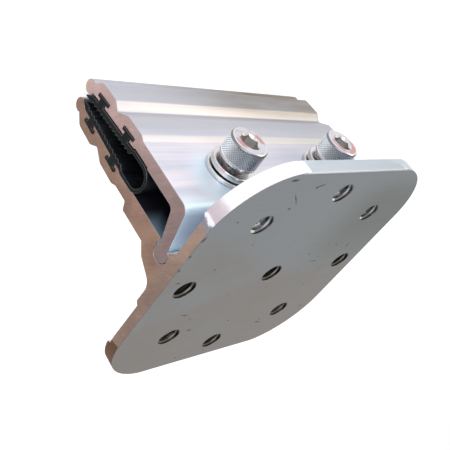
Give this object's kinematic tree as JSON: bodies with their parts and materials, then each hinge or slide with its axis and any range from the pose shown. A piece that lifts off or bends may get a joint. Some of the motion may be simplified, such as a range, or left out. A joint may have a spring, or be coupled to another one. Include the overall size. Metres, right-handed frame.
{
  "type": "standing seam roof clamp with mounting plate",
  "caption": "Hinged aluminium clamp that grips a roof's standing seam between rubber-lined jaws and carries a drilled, rounded square mounting plate.",
  "frame": {"origin": "centre of the mounting plate's outer face", "axes": "+Z out of the plate, X along the extrusions, +Y towards the side with the screw heads"},
  "size_m": [0.1008, 0.1, 0.067],
  "materials": {
    "extrusion": "mill, as extruded",
    "rubber": "matt moulded",
    "zinc_steel": "zinc plated"
  },
  "bodies": {
    "base": {"base_jaw": "extrusion", "rubber_insert": "rubber"},
    "clamp": {"clamp_jaw": "extrusion"},
    "near_washers": {"flat_washer_near": "zinc_steel", "spring_washer_near": "zinc_steel"},
    "near_screw": {"cap_screw_near": "zinc_steel"},
    "far_washers": {"flat_washer_far": "zinc_steel", "spring_washer_far": "zinc_steel"},
    "far_screw": {"cap_screw_far": "zinc_steel"}
  },
  "joints": [
    {"name": "jaw_swing", "type": "hinge", "parent": "base", "child": "clamp", "pos_m": [0, 0.0092, -0.0081], "axis": [1, 0, 0], "range_deg": [0, 6], "deforming": ["rubber_insert"]},
    {"name": "near_travel", "type": "slide", "parent": "base", "child": "near_washers", "axis": [0, 1, 0], "range_m": [0, 0.0025]},
    {"name": "near_screw_turn", "type": "hinge", "parent": "near_washers", "child": "near_screw", "pos_m": [-0.024, 0, -0.023], "axis": [0, 1, 0], "range_deg": [0, 720]},
    {"name": "far_travel", "type": "slide", "parent": "base", "child": "far_washers", "axis": [0, 1, 0], "range_m": [0, 0.0025]},
    {"name": "far_screw_turn", "type": "hinge", "parent": "far_washers", "child": "far_screw", "pos_m": [0.024, 0, -0.023], "axis": [0, 1, 0], "range_deg": [0, 720]}
  ],
  "couplings": [
    {"joint": "near_travel", "follows": "near_screw_turn", "m_per_rad": 0.00019894},
    {"joint": "far_travel", "follows": "near_screw_turn", "m_per_rad": 0.00019894},
    {"joint": "far_screw_turn", "follows": "near_screw_turn", "ratio": 1},
    {"joint": "jaw_swing", "follows": "near_screw_turn", "ratio": 0.0082893}
  ]
}
